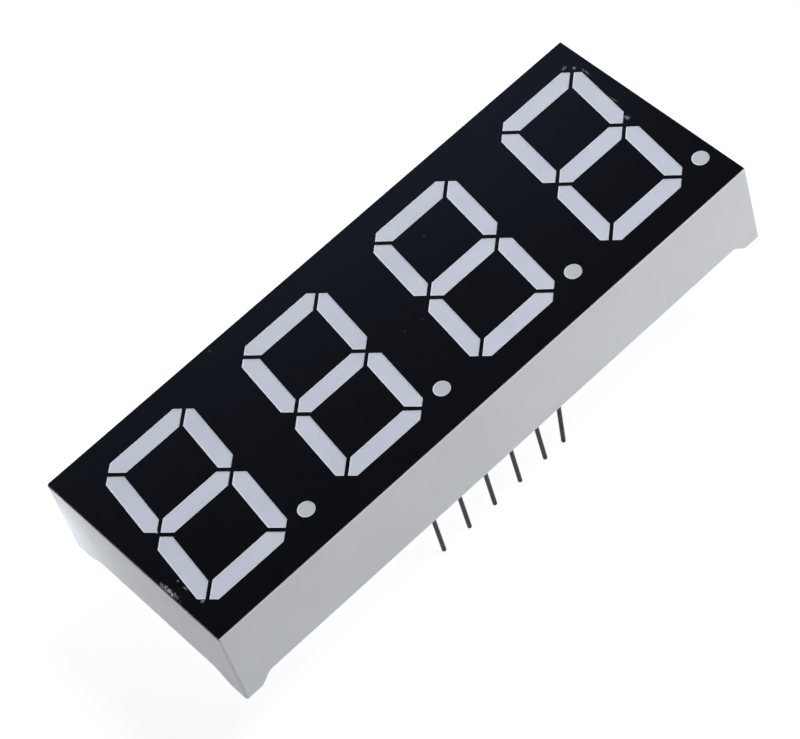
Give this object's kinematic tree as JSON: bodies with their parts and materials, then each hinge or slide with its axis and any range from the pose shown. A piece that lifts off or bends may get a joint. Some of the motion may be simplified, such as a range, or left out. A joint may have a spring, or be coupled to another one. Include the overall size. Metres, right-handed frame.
{
  "type": "seven segment display module",
  "caption": "Multi-digit seven segment light-emitting display module with decimal points, a black masked face, a white reflector housing and two rows of through-hole pins.",
  "frame": {"origin": "centre of the pin pattern on the plane of the four corner feet, which is the circuit board's face when the module is mounted", "axes": "+X along the row of digits towards the last digit, +Y towards the digits' tops, +Z out of the display face"},
  "size_m": [0.0502, 0.019, 0.0142],
  "materials": {
    "housing_plastic": "white moulded plastic, soft satin",
    "black_coat": "black printed coat, satin",
    "milky_resin": "milky cast epoxy, level with the face",
    "board_laminate": "pale glass-filled laminate",
    "copper": "thin plated copper",
    "pin_metal": "dull tinned steel",
    "solder": "soft solder, satin",
    "chip_crystal": "light-emitting crystal",
    "gold_wire": "drawn gold"
  },
  "bodies": {
    "root": {"reflector_housing": "housing_plastic", "face_mask": "black_coat", "resin_fill": "milky_resin", "circuit_board": "board_laminate", "front_copper": "copper", "back_copper": "copper", "pin_01": "pin_metal", "pin_02": "pin_metal", "pin_03": "pin_metal", "pin_04": "pin_metal", "pin_05": "pin_metal", "pin_06": "pin_metal", "pin_07": "pin_metal", "pin_08": "pin_metal", "pin_09": "pin_metal", "pin_10": "pin_metal", "pin_11": "pin_metal", "pin_12": "pin_metal", "solder_joints": "solder", "chip_1a": "chip_crystal", "chip_1b": "chip_crystal", "chip_1c": "chip_crystal", "chip_1d": "chip_crystal", "chip_1e": "chip_crystal", "chip_1f": "chip_crystal", "chip_1g": "chip_crystal", "chip_1dp": "chip_crystal", "chip_2a": "chip_crystal", "chip_2b": "chip_crystal", "chip_2c": "chip_crystal", "chip_2d": "chip_crystal", "chip_2e": "chip_crystal", "chip_2f": "chip_crystal", "chip_2g": "chip_crystal", "chip_2dp": "chip_crystal", "chip_3a": "chip_crystal", "chip_3b": "chip_crystal", "chip_3c": "chip_crystal", "chip_3d": "chip_crystal", "chip_3e": "chip_crystal", "chip_3f": "chip_crystal", "chip_3g": "chip_crystal", "chip_3dp": "chip_crystal", "chip_4a": "chip_crystal", "chip_4b": "chip_crystal", "chip_4c": "chip_crystal", "chip_4d": "chip_crystal", "chip_4e": "chip_crystal", "chip_4f": "chip_crystal", "chip_4g": "chip_crystal", "chip_4dp": "chip_crystal", "bond_wires_1": "gold_wire", "bond_wires_2": "gold_wire", "bond_wires_3": "gold_wire", "bond_wires_4": "gold_wire"}
  },
  "joints": []
}
